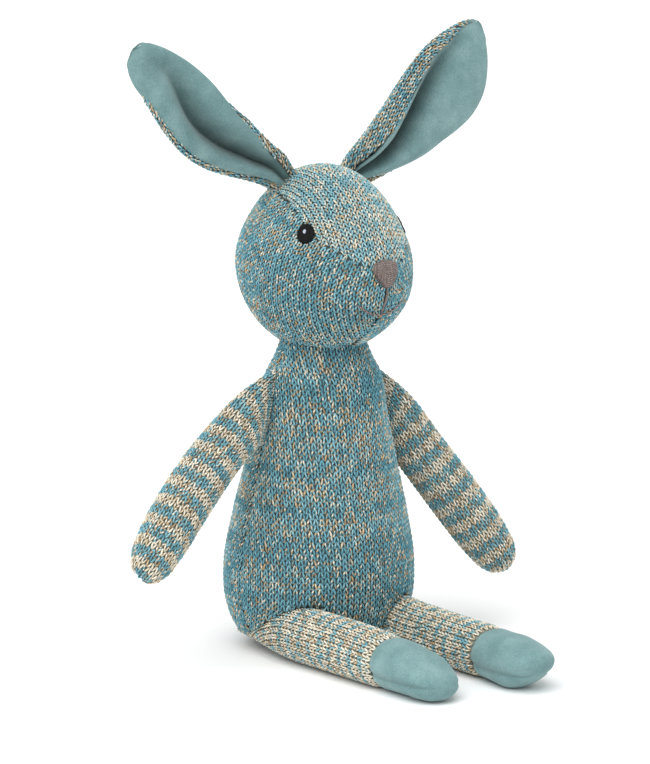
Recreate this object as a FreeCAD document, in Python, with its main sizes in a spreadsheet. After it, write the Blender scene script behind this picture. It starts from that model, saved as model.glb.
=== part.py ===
import FreeCAD, Part
import os

# Stuffed bunny rabbit, sitting, in millimetres. +Z is up, the face looks along -Y and the bunny's
# left side is +X. The origin is on the floor, under the middle of the seat.
# The toy is sewn: knit and velour skins over fibre stuffing, with thread embroidery on the face.

DIMENSIONS = {
    "skin": 1.2,                    # thickness of the knit and velour skins
    "gap": 0.15,                    # ease between a skin and what fills it
    "clearance": 0.8,               # room between two limbs or bodies that move
    "torso_top": 132.0,
    "torso_side": 44.3,             # half width at the widest level
    "torso_front": 41.0,            # half depth at the widest level
    "pouch_radius": 20.0,
    "pouch_half_height": 9.0,
    "pouch_level": 38.0,
    "head_side": 37.0,
    "head_front": 42.5,
    "head_half_height": 40.0,
    "head_level": 174.6,
    "head_forward": 3.0,
    "gusset_nose": 4.0,             # half widths of the strip over the crown
    "gusset_brow": 25.0,
    "gusset_crown": 23.0,
    "gusset_nape": 6.0,
    "eye_long": 4.4,
    "eye_wide": 3.8,
    "nose_radius": 6.6,
    "thread": 1.0,
    "ear_reach": 97.0,
    "ear_half_width": 18.0,
    "ear_bow": 5.5,                 # how far the middle of an ear hangs out from its chord
    "ear_bend": 21.0,               # radius of the lengthwise cupping
    "ear_root": 3.0,                # free height between the crown and the folded root
    "leg_side_left": 20.0,          # distance of each hip from the middle
    "leg_side_right": 29.0,
    "leg_radius": 12.2,
    "hip_back": 20.0,
    "toe_front_left": 134.0,
    "toe_front_right": 121.0,
    "toe_in_left": 2.0,             # how far the toes turn in towards the middle
    "toe_in_right": 5.0,
    "cap_start_left": 97.0,         # where the knit leg ends and the velour foot begins
    "cap_start_right": 84.0,
}

LEVELS_TORSO = [                    # level, then side, depth and forward shift as shares
    (0.0, 0.50, 0.50, 0.0),
    (3.0, 0.70, 0.70, 0.0),
    (9.0, 0.86, 0.86, 0.0),
    (20.0, 0.97, 0.97, 0.0),
    (36.0, 1.00, 1.00, 0.0),
    (60.0, 0.91, 0.92, 0.2),
    (84.0, 0.78, 0.80, 0.5),
    (108.0, 0.65, 0.67, 0.8),
    (125.0, 0.56, 0.55, 1.0),
    (130.0, 0.50, 0.48, 1.0),
    (132.0, 0.40, 0.38, 1.0),
]

STATIONS_ARM = [                    # share of the reach, half width and half thickness
    (-0.16, 11.6, 2.6),
    (0.00, 11.6, 4.2),
    (0.12, 11.6, 7.4),
    (0.26, 11.5, 9.8),
    (0.45, 11.2, 10.6),
    (0.65, 10.7, 10.2),
    (0.84, 9.6, 9.2),
    (0.95, 6.6, 6.3),
    (1.00, 2.5, 2.4),
]

STATIONS_LEG = [                    # share of the length; shares of the radius: wide, tall, level
    (0.00, 0.90, 0.16, 0.40),
    (0.06, 0.94, 0.36, 0.48),
    (0.15, 1.00, 0.70, 0.76),
    (0.27, 1.02, 0.97, 1.02),
    (0.45, 1.00, 1.00, 1.04),
    (0.68, 1.02, 1.00, 1.04),
    (0.86, 1.10, 1.02, 1.06),
    (0.94, 0.96, 0.87, 1.05),
    (0.98, 0.68, 0.58, 1.05),
    (1.00, 0.30, 0.26, 1.05),
]

SIDES = {"left": 1.0, "right": -1.0}
SHOULDER = {"left": (29.5, -2.0, 112.0), "right": (-29.5, -2.0, 112.0)}
HAND = {"left": (84.0, -36.0, 27.0), "right": (-108.0, -14.0, 46.9)}
EAR_ROOT = (19.5, -1.0, 210.5)
EAR_TIP = {"left": (85.5, -2.5, 278.0), "right": (-95.0, -2.5, 273.0)}
EYE = (27.4, -25.6, 190.5)
SEAM_RUN = (0.22, 0.0, -0.975)      # direction of the left shoulder seam, running down
ARM_SWING = {"left": (-45.0, 12.0), "right": (-40.0, 30.0)}     # degrees back and forward

doc = FreeCAD.newDocument("bunny")
sheet = doc.addObject("Spreadsheet::Sheet", "dims")
for row, (alias, value) in enumerate(DIMENSIONS.items(), start=1):
    sheet.set(f"A{row}", alias)
    sheet.set(f"B{row}", str(value))
    sheet.setAlias(f"B{row}", alias)
doc.recompute()

vector = FreeCAD.Vector
nodes = []


def node(obj, label):
    """Mark a document object as a finished piece of the toy."""
    obj.Label = label
    nodes.append(obj)
    return obj


def bound(kind, name, placement=None, **expressions):
    """Add a primitive whose sizes are tied to the sheet."""
    obj = doc.addObject(kind, name)
    for field, text in expressions.items():
        obj.setExpression(field, text)
    if placement is not None:
        obj.Placement = placement
    return obj


def boolean(kind, name, *parts):
    """Cut, fuse or intersect earlier objects."""
    obj = doc.addObject(kind, name)
    if kind == "Part::Cut":
        obj.Base, obj.Tool = parts
    else:
        obj.Shapes = list(parts)
    return obj


def frame_placement(base, along, across):
    """Put an object's Z axis along one direction and its X axis near another."""
    rotation = FreeCAD.Rotation(vector(*across), vector(), vector(*along), "ZXY")
    return FreeCAD.Placement(vector(*base), rotation)


def loft(name, sections):
    obj = doc.addObject("Part::Loft", name)
    obj.Sections = sections
    obj.Solid = True
    obj.Ruled = False
    return obj


def panel(label, outer, zone, inner):
    """One panel of a skin: the outer form inside a zone, less the inner form."""
    slab = boolean("Part::MultiCommon", label + "_slab", outer, zone)
    return node(boolean("Part::Cut", label, slab, inner), label)


# ---- legs: round sleeves that lie on the floor, pinched flat where the hip seam holds them ----

def leg_form(name, side, grow):
    """A leg's form, made larger or smaller all round by the expression in grow."""
    sections = []
    flat = FreeCAD.Rotation(vector(1, 0, 0), 90)
    for number, (share, wide, tall, level) in enumerate(STATIONS_LEG):
        ring = doc.addObject("Part::Ellipse", f"{name}_ring{number}")
        ring.Placement = FreeCAD.Placement(vector(), flat)
        ring.setExpression("MajorRadius", f"dims.leg_radius * {wide} + 0.01 + ({grow})")
        ring.setExpression("MinorRadius", f"dims.leg_radius * {tall} + ({grow})")
        bend = max(0.0, (share - 0.35) / 0.65) ** 1.5
        ring.setExpression("Placement.Base.x",
                           f"{SIDES[side]} * (dims.leg_side_{side} - dims.toe_in_{side} * {bend})")
        length = f"(dims.hip_back + dims.toe_front_{side})"
        stretch = f"({grow}) * {2 * share - 1}"
        ring.setExpression("Placement.Base.y", f"dims.hip_back - {length} * {share} - {stretch}")
        ring.setExpression("Placement.Base.z", f"dims.leg_radius * {level}")
        sections.append(ring)
    return loft(name, sections)


def half_space(name, x=(-200, 200), y=(-200, 200), z=(-50, 350)):
    box = doc.addObject("Part::Box", name)
    box.Length = x[1] - x[0]
    box.Width = y[1] - y[0]
    box.Height = z[1] - z[0]
    box.Placement.Base = vector(x[0], y[0], z[0])
    return box


def make_leg(side):
    outer = leg_form(f"leg_{side}_outer", side, "0")
    inner = leg_form(f"leg_{side}_inner", side, "-dims.skin")
    core = leg_form(f"leg_{side}_core", side, "-dims.skin - dims.gap")
    foot = half_space(f"foot_{side}_zone")
    foot.setExpression("Placement.Base.y", f"-dims.cap_start_{side} - 400")
    foot.Width = 400
    shank = half_space(f"shank_{side}_zone")
    shank.setExpression("Placement.Base.y", f"-dims.cap_start_{side}")
    below = half_space(f"sole_{side}_zone")
    below.setExpression("Height", "50 + dims.leg_radius * 0.62")
    panel(f"leg_{side}_sleeve", outer, shank, inner)
    cap = boolean("Part::MultiCommon", f"foot_{side}_cap", outer, foot)
    panel(f"foot_{side}_sole", cap, below, inner)
    above = boolean("Part::Cut", f"foot_{side}_top", cap, below)
    node(boolean("Part::Cut", f"foot_{side}_upper", above, inner), f"foot_{side}_upper")
    node(core, f"leg_{side}_stuffing")


# ---- torso: a pear that hollows over the tops of the legs ----

def hip_hollow(name, side, ease):
    """The room above one leg: level over the thigh, then falling to the flat hip seam."""
    half = f"(dims.leg_radius * 1.02 + {ease})"
    slope = bound("Part::Wedge", f"{name}_hip_slope",
                  Xmin=f"-{half}", Xmax=half, X2min=f"-{half}", X2max=half,
                  Ymin="-20", Ymax=f"dims.hip_back + 3 + {ease}",
                  Zmin="-9", Zmax=f"dims.leg_radius * 2.14 + {ease}",
                  Z2min="-9", Z2max=f"dims.leg_radius * 0.72 + {ease}")
    thigh = bound("Part::Box", f"{name}_hip_thigh", Length=f"{half} * 2", Width="60",
                  Height=f"dims.leg_radius * 2.14 + 9 + {ease}")
    slope.setExpression("Placement.Base.x", f"{SIDES[side]} * dims.leg_side_{side}")
    thigh.setExpression("Placement.Base.x", f"{SIDES[side]} * dims.leg_side_{side} - {half}")
    thigh.Placement.Base.y = -80
    thigh.Placement.Base.z = -9
    return boolean("Part::MultiFuse", f"{name}_hip", slope, thigh)


def torso_form(name, grow):
    sections = []
    for number, (level, wide, deep, lean) in enumerate(LEVELS_TORSO):
        ring = doc.addObject("Part::Ellipse", f"{name}_ring{number}")
        ring.setExpression("MajorRadius", f"dims.torso_side * {wide} + ({grow}) + 0.01")
        ring.setExpression("MinorRadius", f"dims.torso_front * {deep} + ({grow})")
        share = level / LEVELS_TORSO[-1][0]
        lift = f"({grow}) * {2 * share - 1}"
        ring.setExpression("Placement.Base.z", f"dims.torso_top * {share} + {lift}")
        ring.setExpression("Placement.Base.y", f"-dims.head_forward * {lean}")
        sections.append(ring)
    body = loft(name + "_pear", sections)
    hollows = [hip_hollow(f"{name}_{side}", side, f"dims.clearance - ({grow})") for side in SIDES]
    return boolean("Part::Cut", name, body, boolean("Part::MultiFuse", name + "_hollows", *hollows))


def make_torso():
    outer = torso_form("torso_outer", "0")
    inner = torso_form("torso_inner", "-dims.skin")
    core = torso_form("torso_core", "-dims.skin - dims.gap")
    panel("torso_front_panel", outer, half_space("torso_front_zone", y=(-200, 0)), inner)
    panel("torso_back_panel", outer, half_space("torso_back_zone", y=(0, 200)), inner)
    pouches = []
    for name, ease in (("seat_pellet_pouch", "0"), ("pouch_room", "dims.gap")):
        pouches.append(bound("Part::Ellipsoid", name,
                             Radius1=f"dims.pouch_half_height + {ease}",
                             Radius2=f"dims.pouch_radius * 0.8 + {ease}",
                             Radius3=f"dims.pouch_radius + {ease}"))
        pouches[-1].setExpression("Placement.Base.z", "dims.pouch_level")
    node(pouches[0], "seat_pellet_pouch")
    node(boolean("Part::Cut", "torso_stuffing", core, pouches[1]), "torso_stuffing")


# ---- head: two side panels with a strip between them, from the nose over the crown to the nape ----

def head_form(name, grow):
    form = bound("Part::Ellipsoid", name,
                 Radius1=f"dims.head_half_height + ({grow})",
                 Radius2=f"dims.head_side + ({grow})",
                 Radius3=f"dims.head_front + ({grow})")
    form.setExpression("Placement.Base.y", "-dims.head_forward")
    form.setExpression("Placement.Base.z", "dims.head_level")
    return form


def gusset_zone():
    """A spade-shaped zone: narrow at the nose, wide from brow to crown, narrow at the nape."""
    stops = (("gusset_nose", "-dims.head_front - dims.head_forward - 4"),
             ("gusset_brow", "-dims.head_front * 0.6"),
             ("gusset_crown", "0"),
             ("gusset_nape", "dims.head_front - dims.head_forward + 4"))
    wedges = []
    for (near, start), (far, end) in zip(stops, stops[1:]):
        wedge = bound("Part::Wedge", f"zone_{near}_to_{far}",
                      Xmin=f"-dims.{near}", Xmax=f"dims.{near}",
                      X2min=f"-dims.{far}", X2max=f"dims.{far}",
                      Ymin=start, Ymax=end, Zmin="0", Zmax="60", Z2min="0", Z2max="60")
        wedge.setExpression("Placement.Base.z", "dims.head_level")
        wedges.append(wedge)
    return boolean("Part::MultiFuse", "gusset_zone", *wedges)


def surface_patch(name, tool, thick):
    """A flat-backed patch that lies on the head: the part of a thin outer layer inside the tool."""
    layer = boolean("Part::Cut", name + "_layer", head_form(name + "_over", thick),
                    head_form(name + "_under", "0.02"))
    return boolean("Part::MultiCommon", name, layer, tool)


def head_normal(point):
    """Outward direction of the head's surface near a point."""
    x = point[0] / DIMENSIONS["head_side"] ** 2
    y = (point[1] + DIMENSIONS["head_forward"]) / DIMENSIONS["head_front"] ** 2
    z = (point[2] - DIMENSIONS["head_level"]) / DIMENSIONS["head_half_height"] ** 2
    return vector(x, y, z).normalize()


def make_eye(side):
    sign = SIDES[side]
    place = vector(EYE[0] * sign, EYE[1], EYE[2])
    outward = head_normal(place)
    start = place - outward * 6
    outline = bound("Part::Ellipse", f"eye_{side}_outline",
                    frame_placement(start, outward, (0, 0, 1)),
                    MajorRadius="dims.eye_long", MinorRadius="dims.eye_wide")
    tool = doc.addObject("Part::Extrusion", f"eye_{side}_tool")
    tool.Base = outline
    tool.DirMode = "Custom"
    tool.Dir = outward
    tool.LengthFwd = 12
    tool.Solid = True
    pupil = surface_patch(f"eye_{side}_patch", tool, "dims.thread")
    node(pupil, f"eye_{side}")
    spot = place + vector(0.5 * sign, 0, 1.2)
    glint = bound("Part::Cylinder", f"eye_{side}_glint_tool",
                  frame_placement(spot - outward * 6, outward, (0, 0, 1)), Height="12")
    glint.Radius = 1.0
    over = boolean("Part::Cut", f"eye_{side}_glint_layer",
                   head_form(f"eye_{side}_glint_over", "dims.thread * 1.6"),
                   head_form(f"eye_{side}_glint_under", "dims.thread + 0.02"))
    node(boolean("Part::MultiCommon", f"eye_{side}_glint", over, glint), f"eye_{side}_glint")


def make_face():
    front = vector(0, -DIMENSIONS["head_front"] - DIMENSIONS["head_forward"], 0)
    nose_place = front + vector(0, -8, DIMENSIONS["head_level"] - 0.6)
    prism = bound("Part::Prism", "nose_tool",
                  frame_placement(nose_place, (0, 1, 0), (0, 0, -1)),
                  Circumradius="dims.nose_radius", Height="20")
    prism.Polygon = 3
    rounded = bound("Part::Cylinder", "nose_round_tool",
                    frame_placement(nose_place + vector(0, 0, 0.6), (0, 1, 0), (0, 0, -1)),
                    Radius="dims.nose_radius * 0.80", Height="20")
    shield = boolean("Part::MultiCommon", "nose_shield", prism, rounded)
    node(surface_patch("nose", shield, "dims.thread * 2"), "nose")
    drop = half_space("mouth_drop", x=(-0.5, 0.5), y=(-60, -30))
    drop.setExpression("Height", "9")
    drop.setExpression("Placement.Base.z", "dims.head_level - 15")
    smile_centre = vector(0, -60, DIMENSIONS["head_level"] + 3.5)
    rings = [bound("Part::Cylinder", f"smile_{word}", frame_placement(smile_centre, (0, 1, 0), (0, 0, 1)),
                   Radius=radius, Height="40")
             for word, radius in (("outer", "19"), ("inner", "18"))]
    ring = boolean("Part::Cut", "smile_ring", *rings)
    span = half_space("smile_span", x=(-11.5, 11.5), y=(-60, -20))
    span.setExpression("Height", "30")
    span.setExpression("Placement.Base.z", "dims.head_level - 30")
    smile = boolean("Part::MultiCommon", "smile", ring, span)
    thread = boolean("Part::MultiFuse", "mouth_tool", drop, smile)
    node(surface_patch("mouth", thread, "dims.thread * 0.8"), "mouth")


def make_head():
    outer = head_form("head_outer", "0")
    inner = head_form("head_inner", "-dims.skin")
    zone = gusset_zone()
    panel("head_gusset", outer, zone, inner)
    cheeks = boolean("Part::Cut", "head_cheeks", outer, zone)
    for side, span in (("left", (0, 200)), ("right", (-200, 0))):
        half = half_space(f"head_{side}_zone", x=span)
        panel(f"head_side_{side}", cheeks, half, inner)
        make_eye(side)
    node(head_form("head_stuffing", "-dims.skin - dims.gap"), "head_stuffing")
    make_face()


# ---- ears: two layers, knit behind and velour in front, cupped lengthwise and pinched at the root ----

def make_ear(side):
    sign = SIDES[side]
    root = vector(EAR_ROOT[0] * sign, EAR_ROOT[1], EAR_ROOT[2])
    along = (vector(*EAR_TIP[side]) - root).normalize()
    facing = vector(0, -1, 0)
    across = facing.cross(along)
    leaf_place = frame_placement(root, facing, along)
    outline = bound("Part::Ellipse", f"ear_{side}_outline", leaf_place,
                    MajorRadius="dims.ear_reach / 2 + 2", MinorRadius="dims.ear_half_width")
    middle = root + along * (DIMENSIONS["ear_reach"] / 2 - 2) - facing * 25
    outline.Placement.Base = middle - across * (sign * DIMENSIONS["ear_bow"])
    leaf = doc.addObject("Part::Extrusion", f"ear_{side}_leaf")
    leaf.Base = outline
    leaf.DirMode = "Custom"
    leaf.Dir = facing
    leaf.LengthFwd = 50
    leaf.Solid = True
    stem = bound("Part::Box", f"ear_{side}_stem",
                 Length="dims.ear_reach", Width="dims.ear_half_width * 4",
                 Height="60")
    stem.Placement = frame_placement(root, facing, along)
    offset = along * DIMENSIONS["ear_root"] - facing * 30 - across * DIMENSIONS["ear_half_width"] * 2
    stem.Placement.Base = root + offset
    blade = boolean("Part::MultiCommon", f"ear_{side}_blade", leaf, stem)
    layers = {}
    for word, radius in (("out", "dims.ear_bend"),
                         ("mid", "dims.ear_bend - dims.skin"),
                         ("lining", "dims.ear_bend - dims.skin - 0.1"),
                         ("in", "dims.ear_bend - dims.skin * 2 - 0.1")):
        tube = bound("Part::Cylinder", f"ear_{side}_{word}_tube",
                     Radius=radius, Height="dims.ear_reach + 20")
        start = root - along * 10 + facing * (DIMENSIONS["ear_bend"] - 2.5)
        start -= across * (sign * DIMENSIONS["ear_bow"])
        tube.Placement = frame_placement(start, along, facing)
        layers[word] = tube
    front = half_space(f"ear_{side}_front", x=(-30, 30), y=(-60, 60), z=(-30, 160))
    front.Placement = frame_placement(root + facing * (DIMENSIONS["ear_bend"] * 0.62), along, across)
    front.Placement.Base += across * -30 + along * -30
    for word, outer, inner in (("back", "out", "mid"), ("lining", "lining", "in")):
        sheet_form = boolean("Part::Cut", f"ear_{side}_{word}_sheet", layers[outer], layers[inner])
        whole = boolean("Part::MultiCommon", f"ear_{side}_{word}_whole", sheet_form, blade)
        node(boolean("Part::Cut", f"ear_{side}_{word}", whole, front), f"ear_{side}_{word}")


# ---- arms: tapered sleeves, cut off along the shoulder seam and flattened towards it ----

def arm_form(name, side, grow):
    start = vector(*SHOULDER[side])
    reach = vector(*HAND[side]) - start
    along = vector(reach).normalize()
    seam = vector(SEAM_RUN[0] * SIDES[side], SEAM_RUN[1], SEAM_RUN[2])
    across = (seam - along * seam.dot(along)).normalize()
    sections = []
    for number, (share, wide, thick) in enumerate(STATIONS_ARM):
        ring = doc.addObject("Part::Ellipse", f"{name}_ring{number}")
        ring.setExpression("MajorRadius", f"{wide} + ({grow}) + 0.01")
        ring.setExpression("MinorRadius", f"{thick} + ({grow})")
        inset = DIMENSIONS["skin"] if grow != "0" and share == 1 else 0.0
        ring.Placement = frame_placement(start + along * (reach.Length * share - inset), along, across)
        sections.append(ring)
    return loft(name + "_form", sections)


def seam_side(name, side, ease):
    """The space an arm must leave free at its seam to swing back and forward beside the torso."""
    seam = vector(SEAM_RUN[0] * SIDES[side], SEAM_RUN[1], SEAM_RUN[2])
    level = seam.cross(vector(0, 1, 0)) * SIDES[side]
    boxes = []
    for number, swing in enumerate(ARM_SWING[side]):
        outward = FreeCAD.Rotation(seam * SIDES[side], -swing).multVec(level)
        box = half_space(f"{name}{number}", x=(0, 160), y=(0, 160), z=(0, 60))
        across = seam.cross(outward)
        base = vector(*SHOULDER[side]) - seam * 80 + across * 80 + outward * (ease - 60)
        box.Placement = frame_placement(base, outward, seam)
        boxes.append(box)
    return boolean("Part::MultiFuse", name, *boxes)


def make_arm(side):
    skin = DIMENSIONS["skin"]
    trimmed = []
    for word, grow, ease in (("outer", "0", 0.0), ("inner", "-dims.skin", skin),
                             ("stuffing", "-dims.skin - dims.gap", skin + DIMENSIONS["gap"])):
        name = f"arm_{side}_{word}"
        trimmed.append(boolean("Part::Cut", name, arm_form(name, side, grow),
                               seam_side(name + "_seam", side, ease)))
    outer, inner, core = trimmed
    node(boolean("Part::Cut", f"arm_{side}_sleeve", outer, inner), f"arm_{side}_sleeve")
    node(core, f"arm_{side}_stuffing")


make_torso()
make_head()
for side in SIDES:
    make_ear(side)
    make_arm(side)
    make_leg(side)
doc.recompute()

for obj in doc.Objects:
    if "Invalid" in obj.State or "Error" in obj.State:
        raise RuntimeError(f"{obj.Name} failed: {obj.State}")
os.makedirs("parts", exist_ok=True)
for obj in nodes:
    shape = obj.Shape
    if shape.isNull() or not shape.isValid() or not shape.Solids:
        raise RuntimeError(f"{obj.Label} has no valid solid")
    shape.exportStep(f"parts/{obj.Label}.step")
    box = shape.optimalBoundingBox()
    print(f"{obj.Label:22s} solids {len(shape.Solids)} volume {shape.Volume:10.1f} "
          f"x {box.XMin:7.1f} {box.XMax:7.1f} y {box.YMin:7.1f} {box.YMax:7.1f} "
          f"z {box.ZMin:7.1f} {box.ZMax:7.1f}")
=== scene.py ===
"""Looks of the sitting knitted rabbit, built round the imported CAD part.

Metres, +Z up, the face along -Y and the rabbit's left side along +X. Every knit panel is a cloth
ground with its stitches modelled on it; the velour, the embroidery and the filling are meshes too.
"""
import math

import bpy
import numpy as np
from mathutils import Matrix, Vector


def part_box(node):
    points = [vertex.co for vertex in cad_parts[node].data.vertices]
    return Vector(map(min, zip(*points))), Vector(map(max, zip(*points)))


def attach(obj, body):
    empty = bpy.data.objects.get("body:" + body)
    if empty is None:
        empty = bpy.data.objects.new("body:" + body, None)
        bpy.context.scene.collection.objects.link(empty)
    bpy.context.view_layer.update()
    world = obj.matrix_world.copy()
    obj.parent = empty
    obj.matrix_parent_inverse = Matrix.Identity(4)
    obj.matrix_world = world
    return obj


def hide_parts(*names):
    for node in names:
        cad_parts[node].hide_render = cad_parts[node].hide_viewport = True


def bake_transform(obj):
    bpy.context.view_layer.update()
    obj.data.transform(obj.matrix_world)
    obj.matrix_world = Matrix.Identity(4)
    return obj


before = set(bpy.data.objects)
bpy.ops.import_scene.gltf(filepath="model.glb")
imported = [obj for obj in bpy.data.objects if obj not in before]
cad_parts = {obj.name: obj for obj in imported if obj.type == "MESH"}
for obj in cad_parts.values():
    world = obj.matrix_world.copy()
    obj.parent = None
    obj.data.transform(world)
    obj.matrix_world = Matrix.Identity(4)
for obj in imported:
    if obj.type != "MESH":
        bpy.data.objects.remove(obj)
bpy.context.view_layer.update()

MM = 0.001
SIDES = {"left": 1.0, "right": -1.0}
UP = np.array([0.0, 0.0, 1.0])
FRONT = np.array([0.0, -1.0, 0.0])


# ---------------- small maths

def unit(v):
    v = np.asarray(v, float)
    return v / np.maximum(np.linalg.norm(v, axis=-1, keepdims=True), 1e-12)


def smooth(f):
    f = np.clip(f, 0.0, 1.0)
    return f * f * (3.0 - 2.0 * f)


def bell(x, width):
    return np.exp(-(x / width) ** 2)


def curve(rows):
    """A smooth function through rows of (place, value, ...), which gives its values one by one."""
    rows = np.array(rows, float)
    x, y = rows[:, 0], rows[:, 1:]
    slope = np.gradient(y, x, axis=0)

    def value(at):
        at = np.clip(np.asarray(at, float), x[0], x[-1])
        i = np.clip(np.searchsorted(x, at) - 1, 0, len(x) - 2)
        h = (x[i + 1] - x[i])[..., None]
        f = ((at - x[i]) / (x[i + 1] - x[i]))[..., None]
        values = ((1 + 2 * f) * (1 - f) ** 2 * y[i] + f * (1 - f) ** 2 * h * slope[i]
                  + f * f * (3 - 2 * f) * y[i + 1] + f * f * (f - 1) * h * slope[i + 1])
        return np.moveaxis(values, -1, 0)
    return value


NOISE = np.random.default_rng(11).random((64, 64, 64))


def noise(p, scale):
    """Smooth value noise from 0 to 1 at points p, with features about scale apart."""
    q = np.asarray(p, float) / scale + 100.0
    i = np.floor(q).astype(int)
    f = smooth(q - i)
    total = 0.0
    for corner in np.ndindex(2, 2, 2):
        c = np.array(corner)
        weight = np.prod(np.where(c, f, 1 - f), axis=-1)
        j = (i + c) % NOISE.shape[0]
        total = total + weight * NOISE[j[..., 0], j[..., 1], j[..., 2]]
    return total


# ---------------- materials

def srgb(r, g, b):
    out = []
    for v in (r, g, b):
        v /= 255.0
        out.append(v / 12.92 if v <= 0.04045 else ((v + 0.055) / 1.055) ** 2.4)
    return (*out, 1.0)


class Nodes:
    """A material's node tree with short ways to add and link nodes."""

    def __init__(self, name, roughness, sheen=0.0, sheen_tint=(1, 1, 1, 1), specular=0.5):
        self.material = bpy.data.materials.new(name)
        self.material.use_nodes = True
        self.tree = self.material.node_tree
        self.shader = self.tree.nodes["Principled BSDF"]
        self.shader.inputs["Roughness"].default_value = roughness
        self.shader.inputs["Sheen Weight"].default_value = sheen
        self.shader.inputs["Sheen Roughness"].default_value = 0.5
        self.shader.inputs["Sheen Tint"].default_value = sheen_tint
        self.shader.inputs["Specular IOR Level"].default_value = specular

    def add(self, kind, **inputs):
        node = self.tree.nodes.new(kind)
        for key, value in inputs.items():
            self.put(node.inputs[key.replace("_", " ")], value)
        return node

    def put(self, socket, value):
        if isinstance(value, bpy.types.NodeSocket):
            self.tree.links.new(value, socket)
        else:
            socket.default_value = value

    def attribute(self, name):
        node = self.tree.nodes.new("ShaderNodeAttribute")
        node.attribute_name = name
        return node.outputs["Fac"]

    def noise(self, scale, detail=2.0, stretch=None):
        place = self.tree.nodes.new("ShaderNodeTexCoord").outputs["Object"]
        if stretch is not None:
            mapping = self.tree.nodes.new("ShaderNodeMapping")
            mapping.inputs["Scale"].default_value = stretch
            self.put(mapping.inputs["Vector"], place)
            place = mapping.outputs["Vector"]
        node = self.add("ShaderNodeTexNoise", Vector=place, Scale=scale, Detail=detail)
        return node.outputs["Fac"]

    def ramp(self, value, stops):
        node = self.add("ShaderNodeValToRGB", Fac=value)
        elements = node.color_ramp.elements
        while len(elements) < len(stops):
            elements.new(0.5)
        for element, (place, colour) in zip(elements, stops):
            element.position = place
            element.color = colour
        return node.outputs["Color"]

    def yarn_turn(self, turns):
        """The place round a thread, wound by this many turns from its one end to the other."""
        uv = self.tree.nodes.new("ShaderNodeUVMap")
        uv.uv_map = "yarn"
        split = self.add("ShaderNodeSeparateXYZ", Vector=uv.outputs["UV"])
        return self.math("MULTIPLY_ADD", split.outputs["Y"], turns, split.outputs["X"])

    def math(self, kind, *values):
        node = self.tree.nodes.new("ShaderNodeMath")
        node.operation = kind
        for socket, value in zip(node.inputs, values):
            self.put(socket, value)
        return node.outputs[0]

    def span(self, value, low, high):
        """value from 0..1 spread over low..high"""
        node = self.add("ShaderNodeMapRange", Value=value)
        node.inputs["To Min"].default_value = low
        node.inputs["To Max"].default_value = high
        return node.outputs["Result"]

    def scaled(self, colour, value):
        node = self.tree.nodes.new("ShaderNodeVectorMath")
        node.operation = "SCALE"
        self.put(node.inputs[0], colour)
        self.put(node.inputs["Scale"], value)
        return node.outputs[0]

    def colour(self, value):
        self.put(self.shader.inputs["Base Color"], value)

    def bump(self, height, distance, strength):
        node = self.add("ShaderNodeBump", Height=height, Strength=strength, Distance=distance)
        self.put(self.shader.inputs["Normal"], node.outputs["Normal"])


TEAL_DARK = srgb(72, 122, 134)
TEAL = srgb(98, 156, 170)
TEAL_PALE = srgb(146, 190, 198)
TAN = srgb(140, 120, 92)
SAND = srgb(190, 164, 124)
CREAM = srgb(214, 205, 184)
CREAM_PALE = srgb(236, 229, 213)


def yarn_material(name):
    """Cotton of two plies twisted together: strand and second pick their colours, from teal through
    tan to cream."""
    m = Nodes(name, roughness=0.82, sheen=0.15, specular=0.2)
    stops = [(0.0, TEAL_DARK), (0.30, TEAL), (0.56, TEAL_PALE), (0.66, TAN), (0.78, SAND),
             (0.86, CREAM), (1.0, CREAM_PALE)]
    wave = m.math("SINE", m.math("MULTIPLY", m.yarn_turn(2.3), 2.0 * math.pi))
    share = m.math("MULTIPLY_ADD", wave, 1.7, 0.4)
    share.node.use_clamp = True
    mixed = m.tree.nodes.new("ShaderNodeMix")
    mixed.data_type = "VECTOR"
    m.put(mixed.inputs[0], share)
    m.put(mixed.inputs[4], m.ramp(m.attribute("strand"), stops))
    m.put(mixed.inputs[5], m.ramp(m.attribute("second"), stops))
    ridge = m.math("POWER", m.math("ABSOLUTE", wave), 0.5)
    shade = m.math("MULTIPLY", m.attribute("tone"), m.span(m.noise(2300.0, 1.0), 0.78, 1.22))
    # The grooves between the plies are painted darker, down to 0.78: painted shade. ridge also drives the
    # bump.
    shade = m.math("MULTIPLY", shade, m.span(ridge, 0.78, 1.06))
    m.colour(m.scaled(mixed.outputs[1], shade))
    m.bump(m.math("MULTIPLY_ADD", ridge, 0.6, m.noise(5200.0, 1.0)), 0.00012, 0.6)
    return m.material


def ground_material(name, low, high):
    """The cloth seen between the stitches, coloured darker than the yarn: painted shade of the gaps."""
    m = Nodes(name, roughness=0.95, specular=0.1)
    m.colour(m.ramp(m.noise(900.0, 3.0), [(0.3, low), (0.7, high)]))
    m.bump(m.noise(2500.0, 2.0), 0.0002, 0.7)
    return m.material


def velour_material():
    """Short pile, brushed lighter and darker in patches."""
    m = Nodes("velour", roughness=0.92, sheen=0.35, sheen_tint=srgb(222, 240, 240), specular=0.15)
    patch = m.noise(95.0, 4.0)
    pile = m.noise(1500.0, 3.0)
    blend = m.math("MULTIPLY_ADD", patch, 0.55, m.math("MULTIPLY", pile, 0.45))
    tone = m.ramp(blend, [(0.34, srgb(97, 130, 131)), (0.5, srgb(114, 146, 147)),
                          (0.66, srgb(134, 164, 164))])
    # The tone attribute darkens the velour where painted shade is laid on: the feet's seams and cuff, and
    # the ears' valleys.
    m.colour(m.scaled(tone, m.attribute("tone")))
    m.bump(m.math("MULTIPLY_ADD", patch, 0.6, pile), 0.0004, 0.5)
    return m.material


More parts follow.
